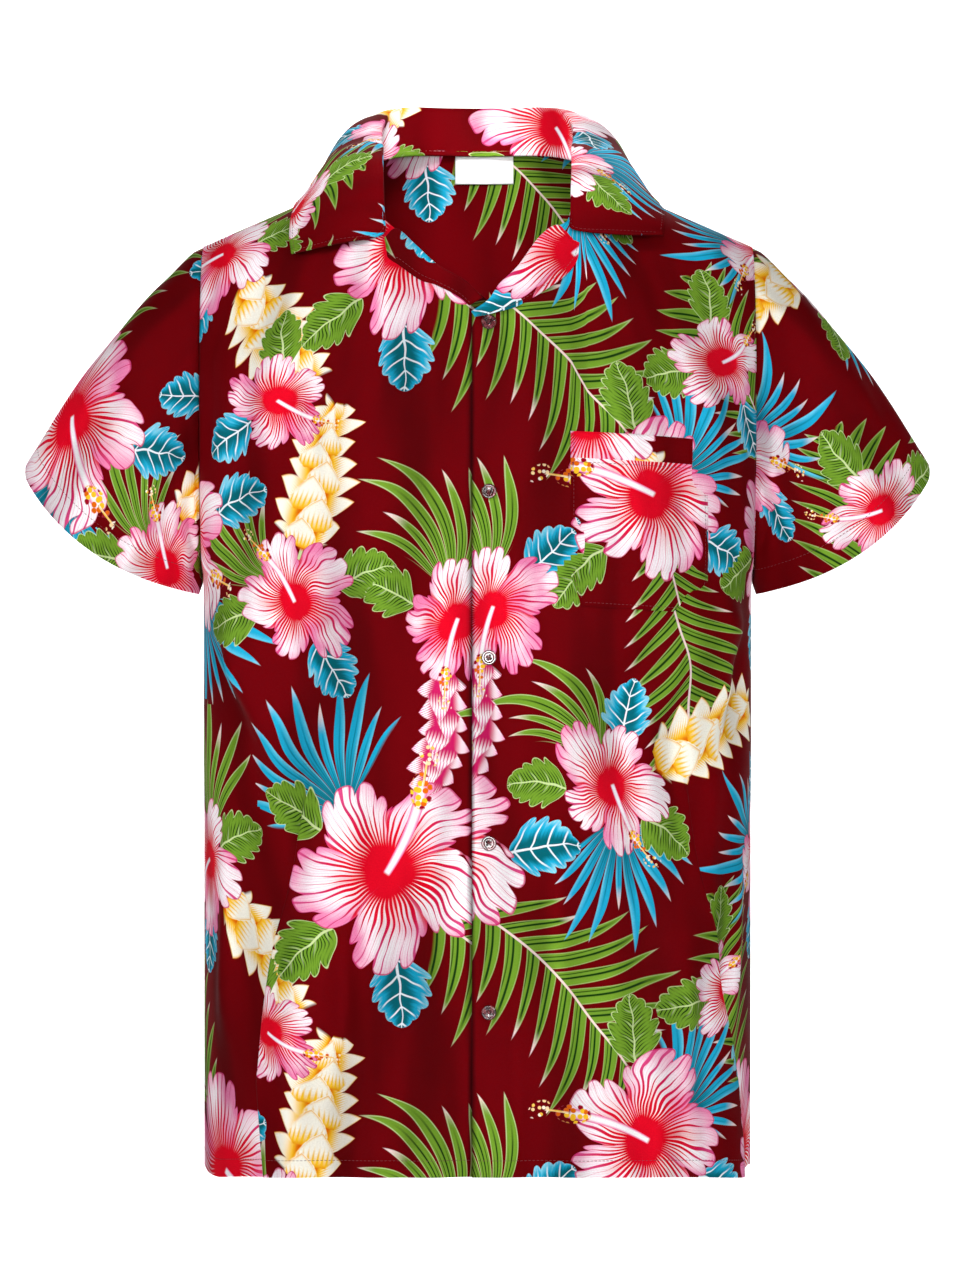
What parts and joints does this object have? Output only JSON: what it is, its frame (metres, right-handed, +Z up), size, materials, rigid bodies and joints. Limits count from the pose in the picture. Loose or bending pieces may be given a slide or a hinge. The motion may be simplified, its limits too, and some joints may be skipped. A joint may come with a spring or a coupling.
{
  "type": "short-sleeved camp-collar shirt",
  "caption": "Hollow short-sleeved camp-collar shirt with a button front, chest pocket and hibiscus, palm and leaf print on maroon cloth.",
  "frame": {"origin": "midway between the two shoulder-neck points, where the shirt hangs from the wearer's shoulders", "axes": "+Z up towards the collar, the front faces -Y, +X is the wearer's left"},
  "size_m": [0.706, 0.2889, 0.8427],
  "materials": {
    "printed_cloth": "matt plain-woven cotton, deep maroon with a large flower and leaf print on both sides",
    "button": "dark translucent horn-like plastic with four thread holes",
    "label_cloth": "smooth white woven tape, bare"
  },
  "bodies": {
    "root": {"front_left": "printed_cloth", "front_right": "printed_cloth", "back": "printed_cloth", "sleeve_left": "printed_cloth", "sleeve_right": "printed_cloth", "collar": "printed_cloth", "lapel_left": "printed_cloth", "lapel_right": "printed_cloth", "pocket": "printed_cloth", "label": "label_cloth", "button_1": "button", "button_2": "button", "button_3": "button", "button_4": "button", "button_5": "button"}
  },
  "joints": []
}
